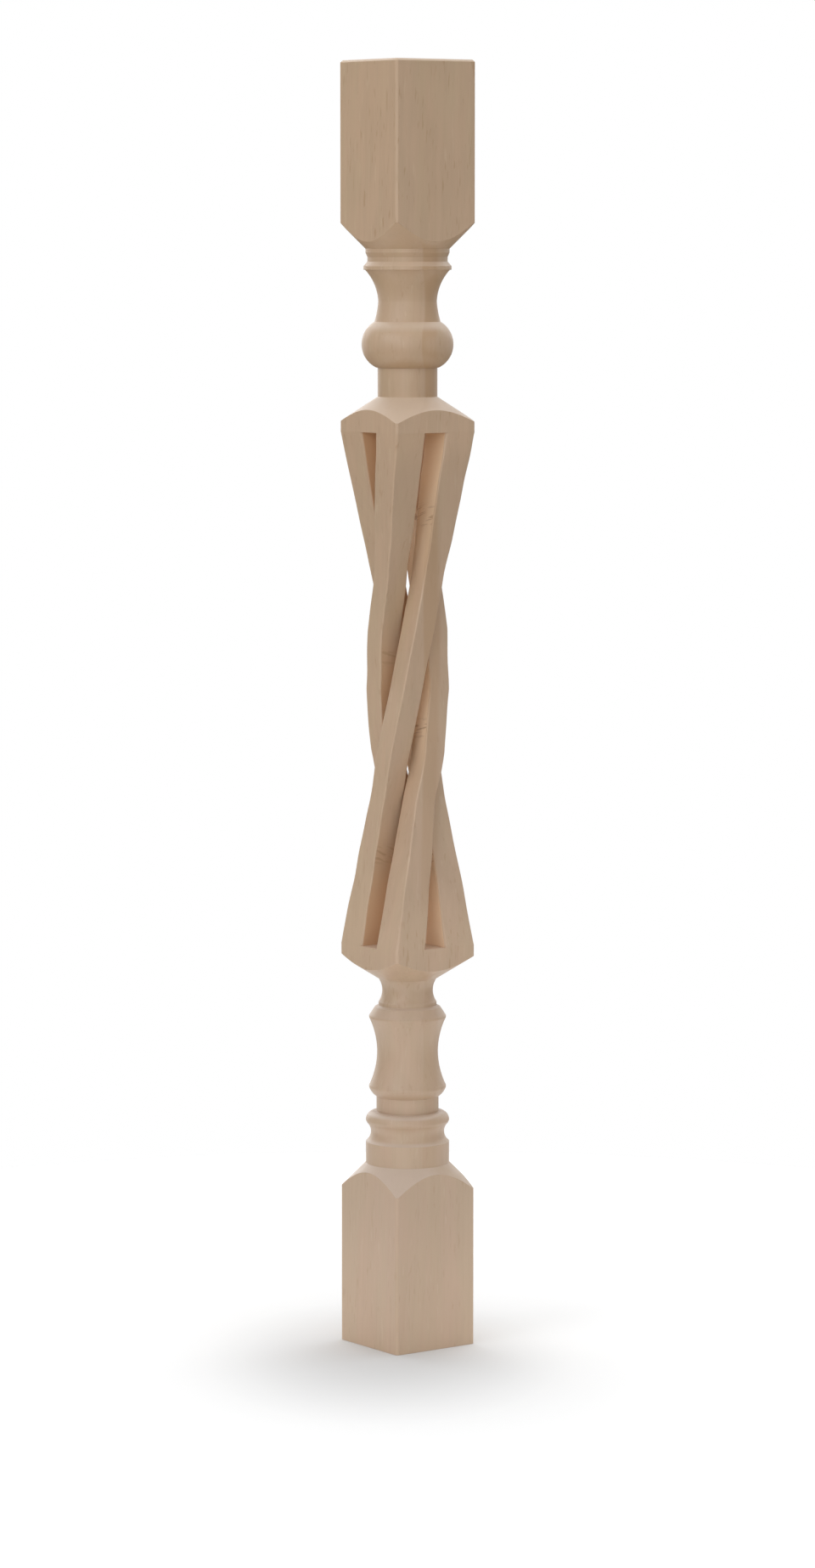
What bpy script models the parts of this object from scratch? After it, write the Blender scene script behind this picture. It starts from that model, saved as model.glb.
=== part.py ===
"""Twist baluster: a square stair baluster worked from one solid blank.

From the top down: square block, upper turning, upper collar block, openwork
twist of four square bars, lower collar block, lower turning, bottom block.

Frame: metres, +Z up. The origin is the centre of the underside, and the four
faces of the square blocks are parallel to the X and Y axes.
Dimensions below are in millimetres, heights measured up from the underside.
"""

import math

import bmesh
import bpy

MM = 0.001

# ---- blank -----------------------------------------------------------------
HEIGHT = 900.0           # overall length
SIDE = 68.0              # width of the square blank across its flats
ARRIS = 1.5              # chamfer on every long edge, and round the top rim

# ---- openwork twist --------------------------------------------------------
SLOT_TOP = 643.9         # flat ceiling of the slots, underside of the upper collar
SLOT_BOTTOM = 284.5      # flat floor of the slots, top of the lower collar
SLOT_WIDTH = 17.0        # gap between neighbouring bars where they leave a collar
BAR_ROOT = (SIDE - SLOT_WIDTH) / 2     # side of a bar at the collars
BAR_WAIST = 17.0         # side of a bar between the first and last kink
BAR_COUNT = 4
FIRST_CORNER = -45.0     # angle of the first bar's corner at the upper collar, degrees
# Kinks of the four bars: height, side of the section, distance of its centre
# from the axis, and turn since the upper collar in degrees. The bars run
# straight from kink to kink, and their sides stay parallel to the blank's faces.
ROOT_OFFSET = (SIDE - BAR_ROOT) / math.sqrt(2)
KINKS = (
    (SLOT_TOP, BAR_ROOT, ROOT_OFFSET, 0.0),
    (545.5, BAR_WAIST, 18.35, 30.0),
    (506.3, BAR_WAIST, 17.85, 57.5),
    (464.2, BAR_WAIST, 17.55, 85.0),
    (421.0, BAR_WAIST, 17.45, 115.0),
    (385.4, BAR_WAIST, 17.10, 144.0),
    (SLOT_BOTTOM, BAR_ROOT, ROOT_OFFSET, 180.0),
)

# ---- turnings --------------------------------------------------------------
STEPS = 48               # facets round a turning
CLEAR = 52.0             # radius outside the blank's corners, where nothing is turned
OVERRUN = 20.0           # how far the turned envelope passes the blank's ends

# Upper turning: top shoulder, fillet, disc, swept cove, ring, neck, collar cone.
U_BAND_R, U_BAND_TOP, U_BAND_BOTTOM = 29.2, 770.4, 767.8
U_SHOULDER_SLOPE = 1.0                      # radius gained for each mm of height
U_FILLET_R, U_FILLET_TOP, U_FILLET_BOTTOM = 27.9, 764.7, 761.6
U_DISC_R, U_DISC_TOP, U_DISC_BOTTOM = 30.6, 758.4, 755.85
U_COVE_START = (29.5, 755.85)
U_COVE_MID = (22.1, 743.4)
U_COVE_WAIST = (20.4, 734.4)
U_FLARE_MID = (21.6, 725.4)
U_FLARE_END = (23.0, 720.0)
U_RING_MID = (31.95, 704.6)
U_RING_END = (21.85, 688.3)
U_NECK_R, U_NECK_TOP, U_NECK_BOTTOM = 20.8, 688.3, 668.1
U_COLLAR_SLOPE = 1.54                       # radius gained for each mm down

# Lower turning: collar cone, throat, dish, long cove, fillet, bead, cove, drum, shoulder.
L_COLLAR_R, L_COLLAR_FOOT = 20.5, 260.3
L_COLLAR_SLOPE = 1.62                       # radius gained for each mm up
L_THROAT_MID = (17.85, 252.95)
L_THROAT_END = (20.4, 243.6)
L_LIP = (20.5, 241.2)
L_LEDGE = (23.0, 240.0)
L_DISH_R, L_DISH_TOP, L_DISH_BOTTOM = 27.05, 233.8, 232.5
L_COVE_UPPER_MID = (23.6, 223.5)
L_COVE_WAIST = (21.4, 208.7)
L_COVE_LOWER_MID = (23.35, 194.2)
L_RIM_R, L_RIM_TOP, L_RIM_BOTTOM = 27.05, 184.2, 182.85
L_OVOLO_MID = (24.8, 178.9)
L_FILLET_R, L_FILLET_TOP, L_FILLET_BOTTOM = 21.9, 176.4, 165.4
L_BEAD_MID = (28.6, 162.65)
L_BEAD_END = (29.35, 159.25)
L_BEAD_QUIRK = (28.5, 157.55)
L_CAVETTO_MID = (25.8, 151.2)
L_CAVETTO_END = (29.15, 144.45)
L_DRUM_R, L_DRUM_TOP, L_DRUM_BOTTOM = 29.35, 144.25, 129.2
L_SHOULDER_SLOPE = 1.0                      # radius gained for each mm down

# ---- wood ------------------------------------------------------------------
WOOD_COLOUR = (0.60, 0.445, 0.31, 1.0)
WOOD_ROUGHNESS = 0.6


def arc_through(start, middle, end, steps):
    """Points of the circular arc from start to end by way of middle, without start."""
    (ax, ay), (bx, by), (cx, cy) = start, middle, end
    d = 2 * (ax * (by - cy) + bx * (cy - ay) + cx * (ay - by))
    a2, b2, c2 = ax * ax + ay * ay, bx * bx + by * by, cx * cx + cy * cy
    ox = (a2 * (by - cy) + b2 * (cy - ay) + c2 * (ay - by)) / d
    oy = (a2 * (cx - bx) + b2 * (ax - cx) + c2 * (bx - ax)) / d
    radius = math.hypot(ax - ox, ay - oy)
    first = math.atan2(ay - oy, ax - ox)
    turn = math.tau
    to_end = (math.atan2(cy - oy, cx - ox) - first) % turn
    to_middle = (math.atan2(by - oy, bx - ox) - first) % turn
    if to_middle > to_end:
        to_end -= turn
    return [
        (
            ox + radius * math.cos(first + to_end * i / steps),
            oy + radius * math.sin(first + to_end * i / steps),
        )
        for i in range(1, steps + 1)
    ]


def turned_profile():
    """(radius, height) of the lathe's envelope, from the top down.

    Beside the square blocks and the twist it stands clear of the blank.
    """
    line = [(0.0, HEIGHT + OVERRUN), (CLEAR, HEIGHT + OVERRUN)]
    # upper turning
    line += [
        (CLEAR, U_BAND_TOP + (CLEAR - U_BAND_R) / U_SHOULDER_SLOPE),
        (U_BAND_R, U_BAND_TOP),
        (U_BAND_R, U_BAND_BOTTOM),
        (U_FILLET_R, U_FILLET_TOP),
        (U_FILLET_R, U_FILLET_BOTTOM),
        (U_DISC_R, U_DISC_TOP),
        (U_DISC_R, U_DISC_BOTTOM),
        U_COVE_START,
    ]
    line += arc_through(U_COVE_START, U_COVE_MID, U_COVE_WAIST, 6)
    line += arc_through(U_COVE_WAIST, U_FLARE_MID, U_FLARE_END, 3)
    line += arc_through(U_FLARE_END, U_RING_MID, U_RING_END, 12)
    line += [(U_NECK_R, U_NECK_TOP), (U_NECK_R, U_NECK_BOTTOM)]
    line += [(CLEAR, U_NECK_BOTTOM - (CLEAR - U_NECK_R) / U_COLLAR_SLOPE)]
    # lower turning
    line += [
        (CLEAR, L_COLLAR_FOOT + (CLEAR - L_COLLAR_R) / L_COLLAR_SLOPE),
        (L_COLLAR_R, L_COLLAR_FOOT),
    ]
    line += arc_through(line[-1], L_THROAT_MID, L_THROAT_END, 7)
    line += [L_LIP, L_LEDGE, (L_DISH_R, L_DISH_TOP), (L_DISH_R, L_DISH_BOTTOM)]
    line += arc_through(line[-1], L_COVE_UPPER_MID, L_COVE_WAIST, 5)
    line += arc_through(L_COVE_WAIST, L_COVE_LOWER_MID, (L_RIM_R, L_RIM_TOP), 5)
    line += [(L_RIM_R, L_RIM_BOTTOM)]
    line += arc_through(line[-1], L_OVOLO_MID, (L_FILLET_R, L_FILLET_TOP), 3)
    line += [(L_FILLET_R, L_FILLET_BOTTOM)]
    line += arc_through(line[-1], L_BEAD_MID, L_BEAD_END, 5)
    line += [L_BEAD_QUIRK]
    line += arc_through(L_BEAD_QUIRK, L_CAVETTO_MID, L_CAVETTO_END, 7)
    line += [
        (L_DRUM_R, L_DRUM_TOP),
        (L_DRUM_R, L_DRUM_BOTTOM),
        (CLEAR, L_DRUM_BOTTOM - (CLEAR - L_DRUM_R) / L_SHOULDER_SLOPE),
        (CLEAR, -OVERRUN),
        (0.0, -OVERRUN),
    ]
    return line


def octagon(cx, cy, side, chamfer):
    """Corners of a chamfered square, anticlockwise seen from above."""
    h, k = side / 2, side / 2 - chamfer
    return [
        (cx + x, cy + y)
        for x, y in (
            (h, -k), (h, k), (k, h), (-k, h), (-h, k), (-h, -k), (-k, -h), (k, -h),
        )
    ]


def bar_section(bar, kink):
    """Corners of one bar's section at one kink of the twist."""
    height, side, offset, turn = kink
    angle = math.radians(FIRST_CORNER + 360.0 / BAR_COUNT * bar - turn)
    cx, cy = offset * math.cos(angle), offset * math.sin(angle)
    return [(x, y, height) for x, y in octagon(cx, cy, side, ARRIS)]


def openwork_blank():
    """The square blank with its slots cut and its four bars twisted, not yet turned."""
    bm = bmesh.new()
    made = {}

    def vert(point):
        key = tuple(round(value, 4) for value in point)
        if key not in made:
            made[key] = bm.verts.new([value * MM for value in point])
        return made[key]

    def face(points):
        bm.faces.new([vert(point) for point in points])

    def ring(side, chamfer, height):
        return [(x, y, height) for x, y in octagon(0.0, 0.0, side, chamfer)]

    # The slot meets each face of a collar between these two places.
    slot = SLOT_WIDTH / 2 + ARRIS

    def collar_rim(height):
        """The collar's rim at a slot end, anticlockwise, with the slots' corners in it."""
        rim = ring(SIDE, ARRIS, height)
        h = SIDE / 2
        middles = (((h, -slot), (h, slot)), ((slot, h), (-slot, h)),
                   ((-h, slot), (-h, -slot)), ((-slot, -h), (slot, -h)))
        return [
            [rim[2 * i], *((x, y, height) for x, y in middles[i]), rim[2 * i + 1]]
            for i in range(4)
        ]

    def block_wall(end, height):
        """Faces between a block's plain ring and its slotted rim, at a height above or below."""
        rims = collar_rim(height)
        for i in range(4):
            plain = (end[2 * i], end[2 * i + 1])
            edge = rims[i]
            corner = (edge[-1], rims[(i + 1) % 4][0])
            next_plain = (end[2 * i + 1], end[(2 * i + 2) % 8])
            if end[0][2] > height:
                face([*edge, plain[1], plain[0]])
                face([*corner, next_plain[1], next_plain[0]])
            else:
                face([plain[0], plain[1], *reversed(edge)])
                face([next_plain[0], next_plain[1], corner[1], corner[0]])

    def slot_end(height, facing_up):
        """The cross-shaped floor or ceiling between the four bars' roots."""
        inner, k = SLOT_WIDTH / 2, slot
        h = SIDE / 2
        quarter = ((h, -k), (h, k), (h - ARRIS, inner), (k, inner), (inner, k), (inner, h - ARRIS))
        points = []
        for i in range(4):
            c, s = ((1, 0), (0, 1), (-1, 0), (0, -1))[i]
            points += [(x * c - y * s, x * s + y * c, height) for x, y in quarter]
        face(points if facing_up else points[::-1])

    # top: a chamfered rim, then the block down to the slots' ceiling
    top = ring(SIDE - 2 * ARRIS, ARRIS * (2 - math.sqrt(2)), HEIGHT)
    shoulder = ring(SIDE, ARRIS, HEIGHT - ARRIS)
    face(top)
    for i in range(8):
        j = (i + 1) % 8
        face([shoulder[i], shoulder[j], top[j], top[i]])
    block_wall(shoulder, SLOT_TOP)
    slot_end(SLOT_TOP, facing_up=False)

    for bar in range(BAR_COUNT):
        rings = [bar_section(bar, kink) for kink in KINKS]
        for upper, lower in zip(rings, rings[1:]):
            for i in range(8):
                j = (i + 1) % 8
                face([lower[i], lower[j], upper[j], upper[i]])

    slot_end(SLOT_BOTTOM, facing_up=True)
    base = ring(SIDE, ARRIS, 0.0)
    block_wall(base, SLOT_BOTTOM)
    face(base[::-1])

    mesh = bpy.data.meshes.new("baluster")
    bm.to_mesh(mesh)
    bm.free()
    return bpy.data.objects.new("baluster", mesh)


def turning_envelope():
    """What the lathe leaves: a profile swept round the axis."""
    mesh = bpy.data.meshes.new("turning_envelope")
    points = [(r * MM, 0.0, z * MM) for r, z in turned_profile()]
    mesh.from_pydata(points, [(i, i + 1) for i in range(len(points) - 1)], [])
    envelope = bpy.data.objects.new("turning_envelope", mesh)
    screw = envelope.modifiers.new("sweep", "SCREW")
    screw.axis = "Z"
    screw.angle = math.tau
    screw.steps = STEPS
    screw.render_steps = STEPS
    screw.use_merge_vertices = True
    screw.merge_threshold = 1e-5
    envelope.hide_render = True
    envelope.display_type = "WIRE"
    return envelope


def wood():
    material = bpy.data.materials.new("pale_wood")
    material.use_nodes = True
    shader = material.node_tree.nodes["Principled BSDF"]
    shader.inputs["Base Color"].default_value = WOOD_COLOUR
    shader.inputs["Roughness"].default_value = WOOD_ROUGHNESS
    shader.inputs["Metallic"].default_value = 0.0
    material.diffuse_color = WOOD_COLOUR
    return material


def main():
    for obj in list(bpy.data.objects):
        bpy.data.objects.remove(obj, do_unlink=True)

    collection = bpy.context.scene.collection
    envelope = turning_envelope()
    baluster = openwork_blank()
    collection.objects.link(envelope)
    collection.objects.link(baluster)

    turn = baluster.modifiers.new("turn", "BOOLEAN")
    turn.operation = "INTERSECT"
    turn.solver = "EXACT"
    turn.object = envelope
    bpy.context.view_layer.update()
    graph = bpy.context.evaluated_depsgraph_get()
    turned = bpy.data.meshes.new_from_object(baluster.evaluated_get(graph))
    baluster.modifiers.clear()
    baluster.data = turned
    turned.name = "baluster"
    turned.shade_smooth()
    turned.set_sharp_from_angle(angle=math.radians(25.0))
    turned.materials.clear()
    turned.materials.append(wood())


main()
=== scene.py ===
import math

import bmesh
import bpy
import numpy as np
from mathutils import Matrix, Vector


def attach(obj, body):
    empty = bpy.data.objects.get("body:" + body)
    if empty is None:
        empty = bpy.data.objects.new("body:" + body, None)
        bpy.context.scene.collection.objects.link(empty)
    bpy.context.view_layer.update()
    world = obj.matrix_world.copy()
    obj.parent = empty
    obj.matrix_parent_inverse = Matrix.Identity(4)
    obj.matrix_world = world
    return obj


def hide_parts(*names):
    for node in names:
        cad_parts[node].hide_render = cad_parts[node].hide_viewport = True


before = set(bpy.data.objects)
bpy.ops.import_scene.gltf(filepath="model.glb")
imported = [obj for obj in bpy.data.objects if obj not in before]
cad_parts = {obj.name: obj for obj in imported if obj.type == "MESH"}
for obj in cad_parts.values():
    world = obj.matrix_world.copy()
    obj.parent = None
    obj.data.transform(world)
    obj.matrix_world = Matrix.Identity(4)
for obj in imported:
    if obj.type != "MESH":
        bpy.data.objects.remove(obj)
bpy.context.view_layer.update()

# All lengths of the baluster are in millimetres until the mesh is made.
MM = 0.001

# ---- the same named sizes as the solid -------------------------------------
HEIGHT, SIDE, ARRIS = 900.0, 68.0, 1.5
SLOT_TOP, SLOT_BOTTOM, SLOT_WIDTH = 643.9, 284.5, 17.0
BAR_ROOT = (SIDE - SLOT_WIDTH) / 2
BAR_WAIST, BAR_ARRIS = 17.0, 0.75
FIRST_CORNER = -45.0
ROOT_OFFSET = (SIDE - BAR_ROOT) / math.sqrt(2)
KINKS = (
    (SLOT_TOP, BAR_ROOT, ROOT_OFFSET, 0.0),
    (545.5, BAR_WAIST, 18.35, 30.0),
    (506.3, BAR_WAIST, 17.85, 57.5),
    (464.2, BAR_WAIST, 17.55, 85.0),
    (421.0, BAR_WAIST, 17.45, 115.0),
    (385.4, BAR_WAIST, 17.10, 144.0),
    (SLOT_BOTTOM, BAR_ROOT, ROOT_OFFSET, 180.0),
)

# Shoulders and collars: radius and height where the cone starts, and its slope
# in radius for each mm of height, positive where it widens upwards.
TOP_SHOULDER = (29.2, 770.4, 1.0)
UPPER_COLLAR = (20.8, 668.1, -1.54)
LOWER_COLLAR = (20.5, 260.3, 1.62)
BASE_SHOULDER = (29.35, 129.2, -1.0)

EASE = 0.35        # radius that sanding leaves on a crisp turned edge
FINE = 0.9         # step along a curved profile


def through(start, middle, end):
    """Centre, radius, first angle and swept angle of the arc through three points."""
    (ax, ay), (bx, by), (cx, cy) = start, middle, end
    d = 2 * (ax * (by - cy) + bx * (cy - ay) + cx * (ay - by))
    a2, b2, c2 = ax * ax + ay * ay, bx * bx + by * by, cx * cx + cy * cy
    ox = (a2 * (by - cy) + b2 * (cy - ay) + c2 * (ay - by)) / d
    oy = (a2 * (cx - bx) + b2 * (ax - cx) + c2 * (bx - ax)) / d
    first = math.atan2(ay - oy, ax - ox)
    sweep = (math.atan2(cy - oy, cx - ox) - first) % math.tau
    if (math.atan2(by - oy, bx - ox) - first) % math.tau > sweep:
        sweep -= math.tau
    return (ox, oy), math.hypot(ax - ox, ay - oy), first, sweep


def arc(start, middle, end):
    """Points from start to end inclusive along an arc, marked as smooth inside."""
    (ox, oy), radius, first, sweep = through(start, middle, end)
    n = max(4, int(abs(sweep) * radius / FINE))
    return [(ox + radius * math.cos(first + sweep * i / n),
             oy + radius * math.sin(first + sweep * i / n)) for i in range(n + 1)]


def eased(runs, radius=EASE):
    """Joins runs of points end to end and rounds each joint.

    Each run is a list of points; the last point of one is the first of the
    next. A straight run gets supporting points just inside its ends.
    """
    out = [runs[0][0]]
    for k, run in enumerate(runs):
        pts = [np.array(p, float) for p in run]
        if len(pts) == 2:
            length = np.linalg.norm(pts[1] - pts[0])
            n = max(1, int(length / 4.0))
            pts = [pts[0] + (pts[1] - pts[0]) * i / n for i in range(n + 1)]
        for p in pts[1:-1]:
            out.append(tuple(p))
        if k + 1 == len(runs):
            out.append(tuple(pts[-1]))
            break
        corner = pts[-1]
        before = pts[-2]
        after_run = [np.array(p, float) for p in runs[k + 1]]
        a = before - corner
        b = after_run[1] - corner
        la, lb = np.linalg.norm(a), np.linalg.norm(b)
        a, b = a / la, b / lb
        half = math.acos(max(-1.0, min(1.0, float(a @ b)))) / 2
        if half > math.radians(87.0):
            out.append(tuple(corner))
            continue
        reach = min(radius / math.tan(half), 0.4 * la, 0.4 * lb)
        r = reach * math.tan(half)
        bis = (a + b) / np.linalg.norm(a + b)
        centre = corner + bis * (r / math.sin(half))
        p0, p1 = corner + a * reach, corner + b * reach
        # a supporting point each side keeps the flats flat in smooth shading
        if la > 3 * reach + 0.2:
            out.append(tuple(corner + a * (reach + 0.25)))
        out.append(tuple(p0))
        v0, v1 = p0 - centre, p1 - centre
        for f in (1 / 3, 2 / 3):
            v = v0 * (1 - f) + v1 * f
            out.append(tuple(centre + v / np.linalg.norm(v) * r))
        out.append(tuple(p1))
        if lb > 3 * reach + 0.2:
            out.append(tuple(corner + b * (reach + 0.25)))
    return out


def upper_turning():
    """Runs of (radius, height) between the top shoulder and the upper collar."""
    return [
        [(29.2, 770.4), (29.2, 767.8)],
        [(29.2, 767.8), (27.9, 764.7)],
        [(27.9, 764.7), (27.9, 761.6)],
        [(27.9, 761.6), (30.6, 758.4)],
        [(30.6, 758.4), (30.6, 755.85)],
        [(30.6, 755.85), (29.5, 755.85)],
        arc((29.5, 755.85), (22.1, 743.4), (20.4, 734.4))
        + arc((20.4, 734.4), (21.6, 725.4), (23.0, 720.0))[1:],
        arc((23.0, 720.0), (31.95, 704.6), (21.85, 688.3)),
        [(21.85, 688.3), (20.8, 688.3)],
        [(20.8, 688.3), (20.8, 668.1)],
    ]


def lower_turning():
    """Runs of (radius, height) between the lower collar and the base shoulder."""
    return [
        arc((20.5, 260.3), (17.85, 252.95), (20.4, 243.6)),
        [(20.4, 243.6), (20.5, 241.2)],
        [(20.5, 241.2), (23.0, 240.0)],
        [(23.0, 240.0), (27.05, 233.8)],
        [(27.05, 233.8), (27.05, 232.5)],
        arc((27.05, 232.5), (23.6, 223.5), (21.4, 208.7))
        + arc((21.4, 208.7), (23.35, 194.2), (27.05, 184.2))[1:],
        [(27.05, 184.2), (27.05, 182.85)],
        arc((27.05, 182.85), (24.8, 178.9), (21.9, 176.4)),
        [(21.9, 176.4), (21.9, 165.4)],
        arc((21.9, 165.4), (28.6, 162.65), (29.35, 159.25)),
        [(29.35, 159.25), (28.5, 157.55)],
        arc((28.5, 157.55), (25.8, 151.2), (29.15, 144.45)),
        [(29.15, 144.45), (29.35, 144.25)],
        [(29.35, 144.25), (29.35, 129.2)],
    ]


# ---- the outline of the square, column by column ---------------------------
NEAR = 0.4         # how far each rounded corner of a section reaches along its sides
PULL = NEAR * math.tan(math.radians(67.5)) * (1 / math.sin(math.radians(67.5)) - 1)


def spread(a, b, n):
    return [a + (b - a) * i / n for i in range(n + 1)]


def face_stations():
    """Positions across a face of the blank, from one chamfer to the next."""
    edge, slot = SIDE / 2 - ARRIS, SLOT_WIDTH / 2 + ARRIS
    outer = spread(-edge + NEAR, -slot - NEAR, 9)
    inner = spread(-slot, slot, 9)
    return outer + inner + [-u for u in reversed(outer)]


def outline():
    """Columns round the blank's section, anticlockwise from the +X face.

    Returns the points as they are eased, the same points unrounded, and the
    points of the section inset by the chamfer.
    """
    h, e = SIDE / 2, SIDE / 2 - ARRIS
    he = h - ARRIS
    ee = he - ARRIS * (2 - math.sqrt(2)) / 1.0
    pts, raw, inset = [], [], []
    d = math.sqrt(0.5)
    for u in face_stations():
        pts.append((h, u)); raw.append((h, u)); inset.append((he, u * ee / e))
    # first corner of the chamfer
    n1 = np.array([math.cos(math.radians(22.5)), math.sin(math.radians(22.5))])
    v = np.array([h, e])
    pts.append(tuple(v - n1 * PULL)); raw.append(tuple(v)); inset.append((he, ee))
    for f in (NEAR, ARRIS * math.sqrt(2) / 2, ARRIS * math.sqrt(2) - NEAR):
        p = v + np.array([-d, d]) * f
        g = f / (ARRIS * math.sqrt(2))
        pts.append(tuple(p)); raw.append(tuple(p))
        inset.append((he + (ee - he) * g, ee + (he - ee) * g))
    n2 = np.array([math.sin(math.radians(22.5)), math.cos(math.radians(22.5))])
    v = np.array([e, h])
    pts.append(tuple(v - n2 * PULL)); raw.append(tuple(v)); inset.append((ee, he))

    def round_all(quarter):
        out = []
        for k in range(4):
            c, s = ((1, 0), (0, 1), (-1, 0), (0, -1))[k]
            out += [(x * c - y * s, x * s + y * c) for x, y in quarter]
        return np.array(out)

    return round_all(pts), round_all(raw), round_all(inset)


class Mesh:
    """Points and faces gathered ring by ring."""

    def __init__(self):
        self.points, self.faces, self.count = [], [], 0

    def ring(self, xyz):
        first = self.count
        self.points.append(np.asarray(xyz, float))
        self.count += len(xyz)
        return first + np.arange(len(xyz))

    def strip(self, upper, lower):
        """Quads between two closed rings that run anticlockwise, upper above lower."""
        a, b = upper, lower
        a2, b2 = np.roll(a, -1), np.roll(b, -1)
        self.faces += np.stack([b, b2, a2, a], 1).tolist()


def block_ring(mesh, plan, z):
    return mesh.ring(np.column_stack([plan, np.broadcast_to(z, len(plan))]))


def cone_height(radius, cone):
    r0, z0, slope = cone
    return z0 + (radius - r0) / slope


def wall_and_cone(mesh, plan, z_wall, cone, rings, cone_first=False):
    """Rings from the wall of a block over its curved edge to the foot of a cone.

    z_wall is the height of the wall's far supporting ring. Rings are made from
    the wall to the cone, or the other way round with cone_first.
    """
    radius = np.hypot(plan[:, 0], plan[:, 1])
    unit = plan / radius[:, None]
    corner = cone_height(radius, cone)
    r0, z0, slope = cone
    away = 1.0 if z_wall > corner.mean() else -1.0
    along = np.array([-1.0, -1.0 / slope]) / math.hypot(1.0, 1.0 / slope)
    wall_dir = np.array([0.0, away])
    half = math.acos(float(along @ wall_dir)) / 2
    reach = 0.45 / math.tan(half)
    r = 0.45
    bis = (along + wall_dir) / np.linalg.norm(along + wall_dir)
    made = []
    n_wall = rings
    for i in range(n_wall):
        f = i / n_wall
        z = z_wall + (corner + away * 1.0 - z_wall) * f
        made.append((radius, z))
    made.append((radius, corner + away * (reach + 0.35)))
    made.append((radius, corner + away * reach))
    centre = bis * (r / math.sin(half))
    v0 = wall_dir * reach - centre
    v1 = along * reach - centre
    for f in (1 / 3, 2 / 3):
        v = v0 * (1 - f) + v1 * f
        p = centre + v / np.linalg.norm(v) * r
        made.append((radius + p[0], corner + p[1]))
    made.append((radius + along[0] * reach, corner + along[1] * reach))
    made.append((radius + along[0] * (reach + 0.35), corner + along[1] * (reach + 0.35)))
    r_from, z_from = made[-1]
    n_cone = 7
    for i in range(1, n_cone):
        f = i / n_cone
        made.append((r_from + (r0 - r_from) * f, z_from + (z0 - z_from) * f))
    if cone_first:
        made.reverse()
    out = []
    for rr, zz in made:
        xy = unit * rr[:, None]
        out.append(mesh.ring(np.column_stack([xy, np.broadcast_to(zz, len(xy))])))
    return out


def turned_rings(mesh, plan, profile):
    angle = np.arctan2(plan[:, 1], plan[:, 0])
    unit = np.column_stack([np.cos(angle), np.sin(angle)])
    return [
        mesh.ring(np.column_stack([unit * r, np.full(len(unit), z)])) for r, z in profile
    ]


def cone_ease(cone, runs, at_start):
    """The runs with a short piece of the cone joined on, so that its foot is eased too."""
    r0, z0, slope = cone
    along = np.array([1.0, 1.0 / slope]) / math.hypot(1.0, 1.0 / slope)
    far = (r0 + along[0] * 0.8, z0 + along[1] * 0.8)
    if at_start:
        return [[far, (r0, z0)]] + runs
    return runs + [[(r0, z0), far]]


def section(side, cx, cy, rounded, plan_u, arris=ARRIS):
    """One bar's section, anticlockwise, for the bar at the +X -Y corner.

    rounded runs from 0, sharp corners, to 1. The sides carry the same stations
    as the blank's faces, so that they meet the collars point for point: the +X
    and -Y sides at the top, and after half a turn the -X and +Y sides below.
    """
    h, k = side / 2, side / 2 - arris
    corners = [(h, -k), (h, k), (k, h), (-k, h), (-h, k), (-h, -k), (-k, -h), (k, -h)]
    out = []
    for i in range(8):
        p = np.array(corners[i])
        q = np.array(corners[(i + 1) % 8])
        o = np.array(corners[i - 1])
        u_in = (o - p) / np.linalg.norm(o - p)
        u_out = (q - p) / np.linalg.norm(q - p)
        inward = (u_in + u_out) / np.linalg.norm(u_in + u_out)
        out.append(p + inward * PULL * rounded)
        length = np.linalg.norm(q - p)
        if i in (0, 4):
            out += [p + (q - p) * f for f in plan_u]
        elif i in (2, 6):
            out += [q + (p - q) * f for f in reversed(plan_u)]
        elif i in (3, 7):
            out += [p + u_out * NEAR, p + u_out * length / 2, q - u_out * NEAR]
        else:
            out += [p + u_out * NEAR, q - u_out * NEAR]
    return np.array(out) + (cx, cy)


def bar_stations():
    """Heights down a bar, close together at each kink."""
    ease = 1.6
    heights = [SLOT_TOP]
    for upper, lower in zip(KINKS, KINKS[1:]):
        a, b = upper[0], lower[0]
        start = a - (0.8 if a == SLOT_TOP else ease)
        stop = b + (0.8 if b == SLOT_BOTTOM else ease)
        n = max(2, round((start - stop) / 5.5))
        heights += spread(start, stop, n)
        if b != SLOT_BOTTOM:
            heights += [b + ease / 2, b, b - ease / 2]
    heights.append(SLOT_BOTTOM)
    return heights, ease


def bar_at(z, ease):
    """Side and centre of the first bar at a height, with its kinks eased."""

    def knot(k):
        _, side, offset, turn = KINKS[k]
        angle = math.radians(FIRST_CORNER - turn)
        return np.array([side, offset * math.cos(angle), offset * math.sin(angle)])

    def straight(z):
        for k in range(len(KINKS) - 1):
            if KINKS[k][0] >= z >= KINKS[k + 1][0]:
                f = (KINKS[k][0] - z) / (KINKS[k][0] - KINKS[k + 1][0])
                return knot(k) * (1 - f) + knot(k + 1) * f
        raise ValueError(z)

    for k in range(1, len(KINKS) - 1):
        zk = KINKS[k][0]
        if abs(z - zk) < ease:
            f = (zk + ease - z) / (2 * ease)
            a, b, c = straight(zk + ease), straight(zk), straight(zk - ease)
            return a * (1 - f) ** 2 + 2 * b * f * (1 - f) + c * f * f
    return straight(z)


def waver(z, bar):
    """How far hand finishing has moved a bar's centre and side at a height."""
    end = min(SLOT_TOP - z, z - SLOT_BOTTOM) / 14.0
    fade = max(0.0, min(1.0, end))
    a = 0.16 * math.sin(z / 9.1 + 2.1 * bar) + 0.12 * math.sin(z / 5.3 + 1.3 * bar + 0.7)
    b = 0.16 * math.sin(z / 8.3 + 1.7 * bar + 2.0) + 0.10 * math.sin(z / 4.7 + 2.9 * bar)
    c = 0.20 * math.sin(z / 11.7 + 0.9 * bar + 1.1)
    return fade * a, fade * b, fade * c


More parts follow.
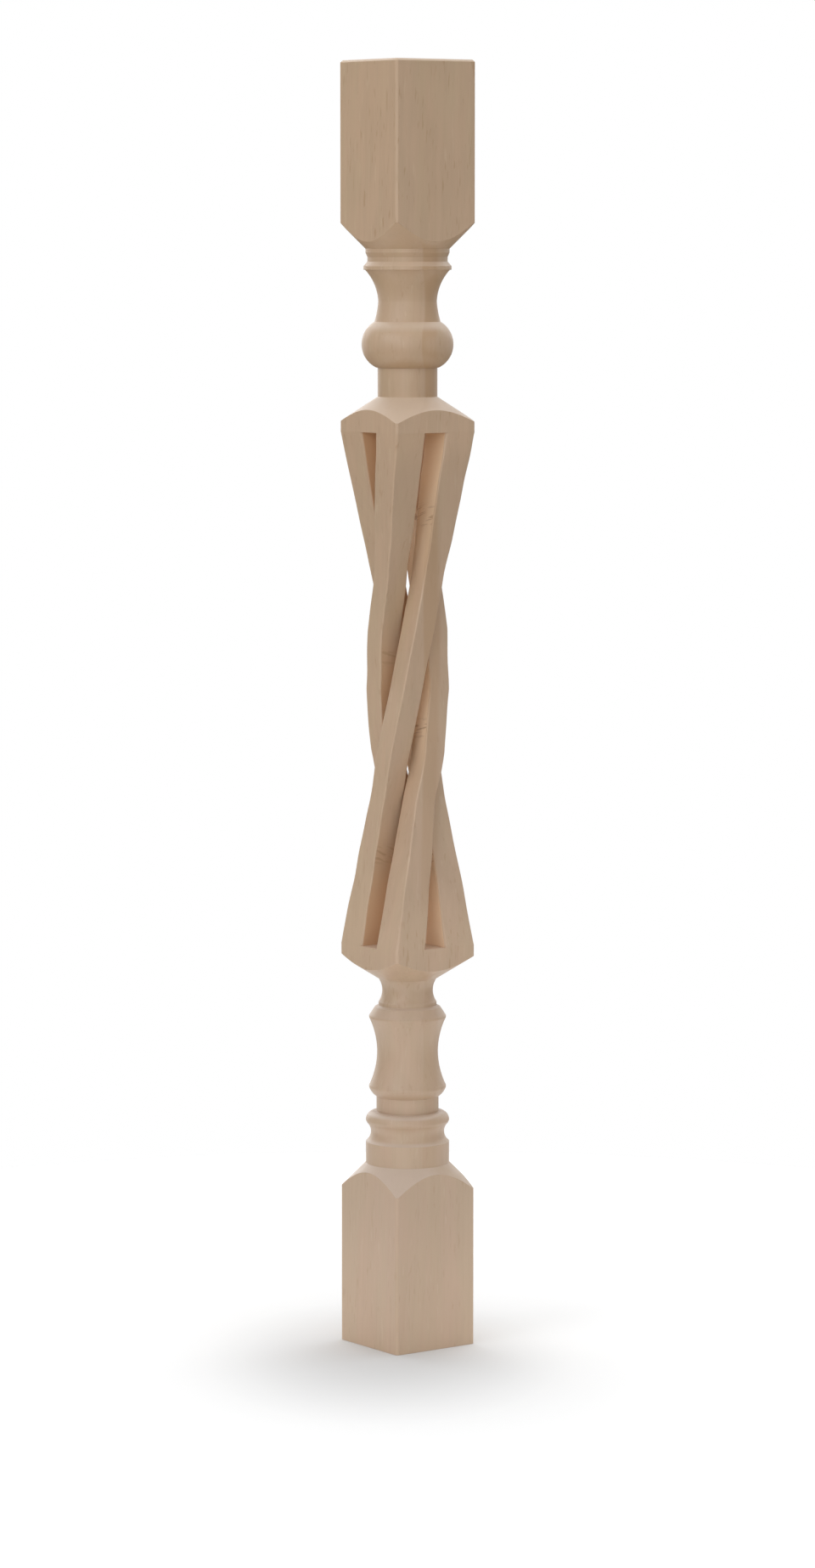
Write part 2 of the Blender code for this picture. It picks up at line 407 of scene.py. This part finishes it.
def baluster_mesh():
    mesh = Mesh()
    plan, raw, inset = outline()
    columns = len(plan)
    quarter = columns // 4
    stations = face_stations()
    edge, slot = SIDE / 2 - ARRIS, SLOT_WIDTH / 2 + ARRIS
    # stations of the outer part of a face, as fractions of the bar's side
    plan_u = [(u + edge) / (edge - slot) for u in stations if u < -slot - NEAR / 2]

    def inset_plan(amount):
        return plan + (inset - plan) * (amount / ARRIS)

    # -- upper half, from the top down
    rings = []
    rim = eased([
        [(4.0, HEIGHT), (ARRIS, HEIGHT)],
        [(ARRIS, HEIGHT), (0.0, HEIGHT - ARRIS)],
        [(0.0, HEIGHT - ARRIS), (0.0, HEIGHT - 4.0)],
    ], 0.5)
    for amount, z in rim:
        rings.append(block_ring(mesh, inset_plan(amount), z))
    top_cap = rings[0]
    rings += wall_and_cone(mesh, plan, HEIGHT - 6.0, TOP_SHOULDER, 12)
    profile = eased(cone_ease(TOP_SHOULDER, upper_turning(), True))
    profile = eased_tail(profile, cone_ease(UPPER_COLLAR, upper_turning(), False))
    rings += turned_rings(mesh, plan, profile)
    rings += wall_and_cone(mesh, plan, SLOT_TOP + 0.6, UPPER_COLLAR, 3, cone_first=True)
    rings.append(block_ring(mesh, raw, SLOT_TOP))
    for a, b in zip(rings, rings[1:]):
        mesh.strip(a, b)
    ceiling = rings[-1]

    # -- lower half, from its rim at the slots' floor down
    lower = [block_ring(mesh, raw, SLOT_BOTTOM)]
    lower += wall_and_cone(mesh, plan, SLOT_BOTTOM - 0.6, LOWER_COLLAR, 3)
    profile = eased(cone_ease(LOWER_COLLAR, lower_turning(), True))
    profile = eased_tail(profile, cone_ease(BASE_SHOULDER, lower_turning(), False))
    lower += turned_rings(mesh, plan, profile)
    lower += wall_and_cone(mesh, plan, 3.0, BASE_SHOULDER, 10, cone_first=True)
    foot = eased([
        [(0.0, 2.0), (0.0, 0.0)],
        [(0.0, 0.0), (4.0, 0.0)],
    ], 0.3)
    for amount, z in foot:
        lower.append(block_ring(mesh, inset_plan(amount), z))
    for a, b in zip(lower, lower[1:]):
        mesh.strip(a, b)
    floor = lower[0]
    mesh.faces.append(top_cap.tolist())
    mesh.faces.append(lower[-1][::-1].tolist())

    # -- four bars
    heights, ease = bar_stations()
    per_ring = len(section(BAR_ROOT, 0, 0, 0, plan_u))
    roots = []
    for bar in range(4):
        c, s = ((1, 0), (0, 1), (-1, 0), (0, -1))[bar]
        turn = np.array([[c, s], [-s, c]])
        previous = None
        for z in heights:
            side, cx, cy = bar_at(z, ease) + np.array(waver(z, bar))[[2, 0, 1]]
            end = min(SLOT_TOP - z, z - SLOT_BOTTOM)
            arris = ARRIS + (BAR_ARRIS - ARRIS) * min(1.0, end / 25.0)
            xy = section(side, cx, cy, min(1.0, end / 0.8), plan_u, arris) @ turn
            xyz = np.column_stack([xy, np.full(per_ring, z)])
            ring = mesh.ring(xyz)
            if previous is None:
                roots.append([ring])
            else:
                mesh.strip(previous, ring)
            previous = ring
        roots[bar].append(previous)
    return mesh, ceiling, floor, roots


def eased_tail(profile, runs):
    """The profile with its last joint replaced by the eased one of runs."""
    tail = eased(runs)
    # drop the plain end of the profile and take the eased end instead
    end = profile[-1]
    keep = [p for p in profile[:-1]]
    start = next(i for i in range(len(tail) - 1, -1, -1)
                 if math.dist(tail[i], end) > 3.0)
    while math.dist(keep[-1], end) < 3.0:
        keep.pop()
    return keep + tail[start + 1:]


def build_baluster():
    mesh, ceiling, floor, roots = baluster_mesh()
    points = np.concatenate(mesh.points)
    faces = mesh.faces

    # weld the bars' roots to the collars' rims
    key = {}
    order = np.arange(len(points))
    for i in np.concatenate([ceiling, floor]):
        key[tuple(np.round(points[i], 4))] = i
    for bar in roots:
        for ring in bar:
            for i in ring:
                found = key.get(tuple(np.round(points[i], 4)))
                if found is not None:
                    order[i] = found
    faces = [[int(order[i]) for i in face] for face in faces]

    # the cross-shaped ceiling and floor between the roots
    def cross(rim, end):
        """The slots' rim round a collar: an edge on each face, then a bar's inner sides."""
        on_rim = set(rim.tolist())
        quarter = len(rim) // 4
        slot = SLOT_WIDTH / 2 + ARRIS + 1e-6
        loop = []
        for k in range(4):
            c, s = ((1, 0), (0, 1), (-1, 0), (0, -1))[k]
            side = rim[k * quarter:(k + 1) * quarter]
            across = points[side][:, 1] * c - points[side][:, 0] * s
            loop += [int(i) for i, u in zip(side, across) if abs(u) <= slot]
            # the bar at the corner that follows this face
            ring = roots[(k + 1) % 4][0] if end == "top" else np.roll(
                roots[(k + 3) % 4][1], -(len(roots[0][1]) // 2))
            inner = [int(order[i]) for i in ring if int(order[i]) not in on_rim]
            last = points[loop[-1]]
            if math.dist(points[inner[0]], last) > math.dist(points[inner[-1]], last):
                inner.reverse()
            loop += inner
        return loop

    faces.append(cross(ceiling, "top")[::-1])
    faces.append(cross(floor, "foot"))

    used = np.unique(np.concatenate([np.array(f) for f in faces]))
    remap = np.full(len(points), -1)
    remap[used] = np.arange(len(used))
    points = points[used]
    faces = [[int(remap[i]) for i in f] for f in faces]

    data = bpy.data.meshes.new("baluster_wood")
    data.from_pydata((points * MM).tolist(), [], faces)
    whole = bmesh.new()
    whole.from_mesh(data)
    bmesh.ops.triangulate(whole, faces=[f for f in whole.faces if len(f.verts) > 4])
    whole.to_mesh(data)
    whole.free()
    data.validate()
    data.update()
    obj = bpy.data.objects.new("baluster_wood", data)
    bpy.context.scene.collection.objects.link(obj)
    return obj


baluster = build_baluster()
shape = baluster.data
shape.shade_smooth()
shape.set_sharp_from_angle(angle=math.radians(40.0))
flats = baluster.modifiers.new("flats", "WEIGHTED_NORMAL")
flats.mode = "FACE_AREA"
flats.weight = 80
flats.keep_sharp = True


# ---- wood ------------------------------------------------------------------
class Tree:
    """Short calls for a material's nodes."""

    def __init__(self, name):
        self.material = bpy.data.materials.new(name)
        self.material.use_nodes = True
        self.tree = self.material.node_tree
        self.shader = self.tree.nodes["Principled BSDF"]

    def link(self, value, socket):
        if isinstance(value, bpy.types.NodeSocket):
            self.tree.links.new(value, socket)
        else:
            socket.default_value = value

    def node(self, kind, inputs=(), output=0, **settings):
        node = self.tree.nodes.new(kind)
        for key, value in settings.items():
            setattr(node, key, value)
        for key, value in dict(inputs).items():
            self.link(value, node.inputs[key])
        return node.outputs[output]

    def math(self, operation, a, b=0.0, c=0.0, clamp=False):
        return self.node("ShaderNodeMath", {0: a, 1: b, 2: c}, operation=operation, use_clamp=clamp)

    def vector(self, operation, a, b=(0, 0, 0), output=0):
        return self.node("ShaderNodeVectorMath", {0: a, 1: b}, output, operation=operation)

    def stretched(self, coordinates, scale, detail=2.0, rough=0.5, seed=(0, 0, 0)):
        """Noise from 0 to 1 whose cells are 1/scale long each way."""
        moved = self.node("ShaderNodeMapping", {"Vector": coordinates, "Location": seed, "Scale": scale})
        return self.node("ShaderNodeTexNoise", {"Vector": moved, "Scale": 1.0, "Detail": detail, "Roughness": rough},
                         noise_dimensions="3D")

    def span(self, value, low, high, to_low=0.0, to_high=1.0, smooth=True):
        return self.node("ShaderNodeMapRange", {"Value": value, "From Min": low, "From Max": high,
                                                "To Min": to_low, "To Max": to_high},
                         interpolation_type="SMOOTHSTEP" if smooth else "LINEAR")

    def mix(self, factor, a, b, blend="MIX"):
        node = self.tree.nodes.new("ShaderNodeMix")
        node.data_type = "RGBA"
        node.blend_type = blend
        self.link(factor, node.inputs[0])
        self.link(a, node.inputs[6])
        self.link(b, node.inputs[7])
        return node.outputs[2]


GAIN = 1.30
# The blank was sawn clear of the heart of the tree, which ran this far off to one side.
HEART, HEART_SIDE, TWIST = 0.12, math.radians(54.0 + 180.0), 0.35


def heart(turned):
    return (HEART * math.cos(HEART_SIDE + turned), HEART * math.sin(HEART_SIDE + turned), 0.0)


SLOTS = (SLOT_BOTTOM * MM, SLOT_TOP * MM)
TEARS = (586.0, 489.0, 437.0, 350.0)    # heights where the cutter tore the slots' sides


def tint(red, green, blue):
    return (red * GAIN, green * GAIN * 0.985, blue * GAIN * 0.94, 1.0)


def wood():
    t = Tree("pale_wood")
    here = t.node("ShaderNodeTexCoord", output=3)
    place = t.tree.nodes.new("ShaderNodeSeparateXYZ")
    t.link(here, place.inputs[0])
    normal = t.node("ShaderNodeNewGeometry", output=1)
    facing = t.tree.nodes.new("ShaderNodeSeparateXYZ")
    t.link(normal, facing.inputs[0])
    up = t.math("ABSOLUTE", facing.outputs[2])

    # the grain leans a little off the blank's length, and wanders
    leaning = t.node("ShaderNodeMapping", {"Vector": here, "Rotation": (0.022, -0.016, TWIST)})
    wander = t.node("ShaderNodeTexNoise", {"Vector": t.vector("MULTIPLY", leaning, (9.0, 9.0, 2.6)),
                                           "Scale": 1.0, "Detail": 2.0, "Roughness": 0.5}, output=1)
    push = t.vector("MULTIPLY", t.vector("SUBTRACT", wander, (0.5, 0.5, 0.5)), (0.014, 0.014, 0.0))
    grain = t.vector("ADD", leaning, push)

    # growth rings, broad and soft, with thin late wood
    from_pith = t.vector("MULTIPLY", t.vector("SUBTRACT", grain, heart(TWIST)), (1.0, 1.0, 0.0))
    radius = t.vector("LENGTH", from_pith, output=1)
    ring = t.math("FRACT", t.math("MULTIPLY", radius, 1000.0 / 4.3))
    late = t.math("MULTIPLY", t.span(ring, 0.50, 0.95), t.math("SUBTRACT", 1.0, t.span(ring, 0.95, 1.0)))

    # mottling from straw to pink, soft streaks, faint fibres, and short dark and light flecks
    broad = t.stretched(grain, (24.0, 24.0, 2.4), 1.0, seed=(3.1, 0.4, 1.7))
    drift = t.stretched(grain, (88.0, 88.0, 19.0), 2.0, 0.55, seed=(3.1, 0.4, 1.7))
    cloud = t.stretched(grain, (92.0, 92.0, 21.0), 2.0, 0.5, seed=(0.0, 0.0, 4.4))
    streak = t.stretched(grain, (190.0, 190.0, 6.5), 3.0, 0.55, seed=(0.0, 5.2, 0.0))
    fibre = t.stretched(grain, (1150.0, 1150.0, 42.0), 2.0, 0.6, seed=(1.3, 0.0, 8.0))
    fleck = t.stretched(grain, (560.0, 560.0, 84.0), 1.0, 0.4, seed=(7.7, 2.0, 0.0))
    pale = t.stretched(grain, (380.0, 380.0, 48.0), 1.0, 0.4, seed=(2.7, 9.0, 5.0))

    straw = tint(0.460, 0.346, 0.236)
    pink = tint(0.480, 0.338, 0.241)
    base = t.mix(t.span(t.math("MULTIPLY_ADD", broad, 0.5, t.math("MULTIPLY", drift, 0.5)), 0.40, 0.60, 0.22, 0.78),
                 straw, pink)
    calm = t.span(place.outputs[2], 0.10, 0.30, 0.55, 1.0)     # the bottom block is the most even
    base = t.mix(t.math("MULTIPLY", t.span(cloud, 0.40, 0.60, 0.0, 0.18), calm), base, tint(0.380, 0.275, 0.190))
    base = t.mix(t.math("MULTIPLY", t.span(streak, 0.38, 0.74, 0.0, 0.11), calm), base, tint(0.385, 0.272, 0.178))
    base = t.mix(t.math("MULTIPLY", late, 0.045), base, tint(0.330, 0.215, 0.130))
    base = t.mix(t.math("MULTIPLY", t.span(fibre, 0.45, 0.80), t.span(cloud, 0.35, 0.65, 0.03, 0.12)), base,
                 tint(0.300, 0.200, 0.125))
    flecks = t.math("MULTIPLY", t.span(fleck, 0.61, 0.72), t.span(cloud, 0.42, 0.58, 0.15, 1.0))
    out_far = t.math("MAXIMUM", t.math("ABSOLUTE", place.outputs[0]), t.math("ABSOLUTE", place.outputs[1]))
    flecks = t.math("MULTIPLY", flecks, t.span(out_far, 0.0300, 0.0330, 0.55, 1.0))
    base = t.mix(t.math("MULTIPLY", flecks, t.math("MULTIPLY", calm, 0.50)), base, tint(0.345, 0.205, 0.112))
    base = t.mix(t.span(pale, 0.66, 0.76, 0.0, 0.20), base, tint(0.560, 0.455, 0.345))

    # a warmer, darker layer of growth runs down the blank off its centre
    swayed = t.vector("ADD", here, t.vector("MULTIPLY", push, (0.35, 0.35, 0.0)))
    swayed = t.vector("MULTIPLY", t.vector("SUBTRACT", swayed, heart(0.0)), (1.0, 1.0, 0.0))
    across = t.math("SUBTRACT", t.vector("LENGTH", swayed, output=1), HEART)
    layer = t.math("MULTIPLY", t.span(across, 0.0125, 0.0140), t.span(across, 0.0205, 0.0240, 1.0, 0.0))
    layer = t.math("MULTIPLY", layer, t.span(out_far, 0.0300, 0.0330, 0.62, 0.08))
    layer = t.math("MULTIPLY", layer, t.span(place.outputs[2], 0.25, 0.60, 0.40, 1.0))
    base = t.mix(layer, base, tint(0.395, 0.250, 0.142))

    # the sides turned in to the slots are painted lighter and warmer, painted bounce light, with the sides facing ±Y
    # painted lighter than those facing ±X as painted light and shade; they are torn here and there across the grain
    outward = t.vector("DOT_PRODUCT", normal, t.vector("NORMALIZE", t.vector("MULTIPLY", here, (1.0, 1.0, 0.0))), output=1)
    open_part = t.math("MULTIPLY", t.span(place.outputs[2], SLOTS[0] - 0.0010, SLOTS[0] + 0.0010),
                       t.span(place.outputs[2], SLOTS[1] - 0.0010, SLOTS[1] + 0.0010, 1.0, 0.0))
    inner = t.math("MULTIPLY", t.span(outward, -0.15, 0.30, 1.0, 0.0), open_part)
    slot_bounce_light = t.mix(t.span(t.math("ABSOLUTE", facing.outputs[1]), 0.35, 0.85), tint(0.530, 0.351, 0.217),
                 tint(0.676, 0.518, 0.374))
    # painted light on the slot walls by height: lighter towards the slots' ends, darker in the middle and in a dip
    # about 122 mm either side of it
    midway = t.math("ABSOLUTE", t.math("SUBTRACT", place.outputs[2], sum(SLOTS) / 2))
    slot_light_by_height = t.span(midway, 0.080, 0.175, 0.965, 1.06)
    slot_light_by_height = t.math("MULTIPLY", slot_light_by_height, t.span(t.math("ABSOLUTE", t.math("SUBTRACT", midway, 0.122)), 0.0, 0.035, 0.92, 1.0))
    slot_bounce_light = t.mix(1.0, slot_bounce_light, t.node("ShaderNodeCombineXYZ", {0: slot_light_by_height, 1: slot_light_by_height, 2: slot_light_by_height}), "MULTIPLY")
    base = t.mix(t.math("MULTIPLY", inner, 0.94), base, slot_bounce_light)
    slanted = t.node("ShaderNodeMapping", {"Vector": t.vector("ADD", here, t.vector("MULTIPLY", wander, (0.0, 0.0, 0.016))),
                                           "Rotation": (0.30, 0.22, 0.0)})
    tear = t.stretched(slanted, (75.0, 75.0, 560.0), 2.0, 0.55, seed=(0.0, 3.0, 0.0))
    near_tear = None
    for height in TEARS:
        away = t.math("ABSOLUTE", t.math("SUBTRACT", place.outputs[2], height * MM))
        window = t.span(away, 0.002, 0.010, 1.0, 0.0)
        near_tear = window if near_tear is None else t.math("MAXIMUM", near_tear, window)
    torn = t.math("MULTIPLY", t.math("MULTIPLY", t.span(tear, 0.55, 0.61), near_tear), inner)
    base = t.mix(t.math("MULTIPLY", torn, 0.80), base, tint(0.320, 0.195, 0.115))

    # painted shade darkens surfaces that face down, painted light makes cones that face up lighter and paler, and end
    # grain on the top and the foot is darker
    underside_shade = t.span(facing.outputs[2], -0.75, -0.05, 0.48, 0.0)
    underside_shade = t.math("MULTIPLY", underside_shade, t.span(place.outputs[2], 0.55, 0.68, 0.25, 1.0))
    base = t.mix(underside_shade, base, tint(0.392, 0.252, 0.138))
    sawn_end = t.span(t.math("ABSOLUTE", t.math("SUBTRACT", place.outputs[2], HEIGHT * MM / 2)), 0.4475, 0.4490)
    end_grain = t.math("MULTIPLY", t.span(up, 0.94, 0.995), sawn_end)
    # painted light: surfaces facing up are mixed toward a lighter, paler tint
    slope = t.math("MULTIPLY", t.span(facing.outputs[2], 0.45, 0.75), t.math("SUBTRACT", 1.0, end_grain))
    base = t.mix(t.math("MULTIPLY", slope, 0.66), base, tint(0.548, 0.448, 0.375))
    # the blank is a little lighter and yellower towards its top and a step darker below about 0.3 m; within 0.12 m of
    # its foot it is painted lighter again, painted light standing in for light bounced up from the floor
    along = place.outputs[2]
    ends = t.span(along, 0.05, 0.85, 0.905, 1.045, smooth=False)
    # the first step is the painted floor-bounce light at the foot
    for low, high, below, above in ((0.0, 0.12, 1.19, 1.0), (0.10, 0.15, 0.985, 1.0), (0.24, 0.30, 0.91, 1.0)):
        ends = t.math("MULTIPLY", ends, t.span(along, low, high, below, above))
    ends = t.node("ShaderNodeCombineXYZ", {
        0: ends, 1: t.math("MULTIPLY", ends, t.span(along, 0.10, 0.85, 1.000, 0.985, smooth=False)),
        2: t.math("MULTIPLY", ends, t.span(along, 0.10, 0.85, 1.035, 0.945, smooth=False))})
    base = t.mix(1.0, base, ends, "MULTIPLY")
    # painted shade: on the side turned to the camera's right the bars are a shade darker, and the bottom shoulder's
    # cone there is painted darker and warmer against the highlight from the right. The bars are also a shade darker
    # between 0.47 and 0.61 m
    sideways = t.vector("DOT_PRODUCT", normal, (0.588, 0.809, 0.0), output=1)
    shoulder_shade = t.math("MULTIPLY", t.span(sideways, 0.28, 0.62), t.span(along, 0.20, 0.30, 1.0, 0.0))
    shoulder_shade = t.math("MULTIPLY", shoulder_shade, slope)
    base = t.mix(shoulder_shade, base, t.mix(1.0, base, (0.87, 0.81, 0.70, 1.0), "MULTIPLY"))
    # painted shade on the bars' sides facing the camera's right, outside the slots
    far_side_shade = t.span(sideways, 0.05, 0.55)
    between = t.math("MULTIPLY", t.span(along, 0.290, 0.330), t.span(along, 0.610, 0.642, 1.0, 0.0))
    far_side_shade = t.math("MULTIPLY", t.math("MULTIPLY", far_side_shade, between), t.math("SUBTRACT", 1.0, inner))
    shade = t.math("SUBTRACT", 1.0, t.math("MULTIPLY", far_side_shade, 0.075))
    waist = t.math("MULTIPLY", t.span(along, 0.47, 0.55), t.span(along, 0.610, 0.642, 1.0, 0.0))
    shade = t.math("MULTIPLY", shade, t.math("SUBTRACT", 1.0, t.math("MULTIPLY", waist, 0.030)))
    base = t.mix(1.0, base, t.node("ShaderNodeCombineXYZ", {0: shade, 1: shade, 2: shade}), "MULTIPLY")
    pores = t.stretched(here, (1500.0, 1500.0, 1500.0), 1.0, 0.5, seed=(4.0, 1.0, 0.0))
    base = t.mix(t.math("MULTIPLY", end_grain, 0.34), base, tint(0.330, 0.225, 0.140))
    base = t.mix(t.math("MULTIPLY", end_grain, t.math("MULTIPLY", late, 0.42)), base, tint(0.270, 0.170, 0.100))
    base = t.mix(t.math("MULTIPLY", end_grain, t.span(pores, 0.56, 0.70, 0.0, 0.35)), base, tint(0.230, 0.145, 0.085))

    height = t.math("ADD", t.math("MULTIPLY", fibre, 0.5),
                    t.math("ADD", t.math("MULTIPLY", flecks, -0.5), t.math("MULTIPLY", torn, -3.0)))
    bump = t.node("ShaderNodeBump", {"Strength": 0.22, "Distance": 0.00012, "Height": height})
    t.link(base, t.shader.inputs["Base Color"])
    t.link(t.span(streak, 0.3, 0.7, 0.42, 0.52), t.shader.inputs["Roughness"])
    t.link(bump, t.shader.inputs["Normal"])
    t.shader.inputs["Specular IOR Level"].default_value = 0.8
    return t.material


shape.materials.append(wood())
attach(baluster, "root")
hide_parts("baluster")


# ---- stage, light and camera -----------------------------------------------
AZIMUTH = math.radians(54.0)      # the camera stands this far round from -Y towards +X
DISTANCE, EYE, PITCH = 3.5971, 0.77898, math.radians(6.057)

SWEEP = 0.76                       # radius of the white sweep that the baluster stands on
PAPER = (0.757, 0.760, 0.763)      # how much light it reflects
PAPER_GLOW = (0.24, 0.20)          # its glow a little way off, and more beyond, where it is white as a lit sweep is; little glow near the foot leaves a painted shadow there
ROOM = 0.18                        # light from the pale room all round

# Broad soft lights, as directions: how far round from the camera towards its
# right, how far up, how strong and how wide.
WIDE, BROAD = 95.0, 45.0           # the angle each light spans
KEY = (-55.0, 42.0, 0.17, WIDE)
KEY_LOW = (-10.0, 8.0, 0.17, BROAD)
FILL_RIGHT = (62.0, 40.0, 0.27, WIDE)
BACK = (180.0, 42.0, 0.52, WIDE)
BACK_LEFT = (-150.0, 10.0, 0.17, BROAD)
BACK_RIGHT = (140.0, 10.0, 0.07, BROAD)
# One near softbox, whose light falls off from the top of the baluster to its foot.
KEY_BOX = (-48.0, 2.2, 1.9)
KEY_BOX_SIDE, KEY_BOX_WATTS = 1.2, 12.0


def stage():
    data = bpy.data.meshes.new("floor")
    rim = [(SWEEP * math.cos(math.tau * k / 96), SWEEP * math.sin(math.tau * k / 96), 0.0) for k in range(96)]
    data.from_pydata(rim, [], [tuple(range(96))])
    floor = bpy.data.objects.new("floor", data)
    bpy.context.scene.collection.objects.link(floor)
    paper = Tree("paper")
    shader = paper.shader
    shader.inputs["Base Color"].default_value = (*PAPER, 1.0)
    shader.inputs["Roughness"].default_value = 0.9
    shader.inputs["Specular IOR Level"].default_value = 0.1
    shader.inputs["Emission Color"].default_value = (1.0, 1.0, 1.0, 1.0)
    right, ahead = (math.cos(AZIMUTH), math.sin(AZIMUTH), 0.0), (math.sin(AZIMUTH), -math.cos(AZIMUTH), 0.0)
    here = paper.node("ShaderNodeTexCoord", output=3)
    # the glow is least in an ellipse round the foot, shifted toward the camera: a painted contact shadow, with
    # painted light making the floor beyond white
    sideways = paper.math("ADD", paper.vector("DOT_PRODUCT", here, [1.30 * v for v in right], output=1), 0.022)
    forward = paper.math("SUBTRACT", paper.vector("DOT_PRODUCT", here, [0.80 * v for v in ahead], output=1), 0.045)
    reach = paper.vector("LENGTH", paper.node("ShaderNodeCombineXYZ", {0: sideways, 1: forward}), output=1)
    glow_round_painted_shadow = paper.math("ADD", paper.span(reach, 0.02, 0.19, 0.0, PAPER_GLOW[0]),
                      paper.span(reach, 0.10, 0.50, 0.0, PAPER_GLOW[1]))
    paper.link(glow_round_painted_shadow, shader.inputs["Emission Strength"])
    data.materials.append(paper.material)



def place(azimuth, distance, height):
    """A point in the camera's polar frame: azimuth 0 is towards the camera, and grows to its right."""
    a = AZIMUTH + azimuth
    return (distance * math.sin(a), -distance * math.cos(a), height)


def broad(name, azimuth, elevation, strength, spans):
    data = bpy.data.lights.new(name, "SUN")
    data.energy = math.pi * strength
    data.angle = math.radians(spans)
    light = bpy.data.objects.new(name, data)
    across = math.cos(math.radians(elevation))
    light.location = place(math.radians(azimuth), 2.5 * across, 2.5 * math.sin(math.radians(elevation)))
    light.rotation_euler = (-light.location).to_track_quat("-Z", "Y").to_euler()
    bpy.context.scene.collection.objects.link(light)


def lights():
    for name, lamp in (("key", KEY), ("key_low", KEY_LOW), ("fill_right", FILL_RIGHT), ("back", BACK),
                       ("back_left", BACK_LEFT), ("back_right", BACK_RIGHT)):
        broad(name, *lamp)
    box = bpy.data.lights.new("key_box", "AREA")
    box.size = KEY_BOX_SIDE
    box.energy = KEY_BOX_WATTS
    lamp = bpy.data.objects.new("key_box", box)
    lamp.location = place(math.radians(KEY_BOX[0]), KEY_BOX[1], KEY_BOX[2])
    lamp.rotation_euler = (Vector((0.0, 0.0, 0.5)) - lamp.location).to_track_quat("-Z", "Y").to_euler()
    bpy.context.scene.collection.objects.link(lamp)
    # the room is white to the camera, and dimmer as a light
    world = bpy.data.worlds.new("studio")
    world.use_nodes = True
    nodes, links = world.node_tree.nodes, world.node_tree.links
    background = nodes["Background"]
    background.inputs["Color"].default_value = (1.0, 1.0, 1.0, 1.0)
    seen = nodes.new("ShaderNodeLightPath")
    bright = nodes.new("ShaderNodeMapRange")
    bright.inputs["To Min"].default_value = ROOM
    links.new(seen.outputs["Is Camera Ray"], bright.inputs["Value"])
    links.new(bright.outputs["Result"], background.inputs["Strength"])
    bpy.context.scene.world = world


def camera():
    data = bpy.data.cameras.new("camera")
    data.sensor_width = 36.0
    data.lens = 118.52
    data.clip_end = 100.0
    view = bpy.data.objects.new("camera", data)
    view.location = place(0.0, DISTANCE, EYE)
    view.rotation_euler = (math.pi / 2 - PITCH, 0.0, AZIMUTH)
    bpy.context.scene.collection.objects.link(view)
    bpy.context.scene.camera = view


stage()
lights()
camera()
bpy.context.scene.view_settings.view_transform = "Standard"
bpy.context.scene.view_settings.look = "None"

bpy.context.view_layer.update()
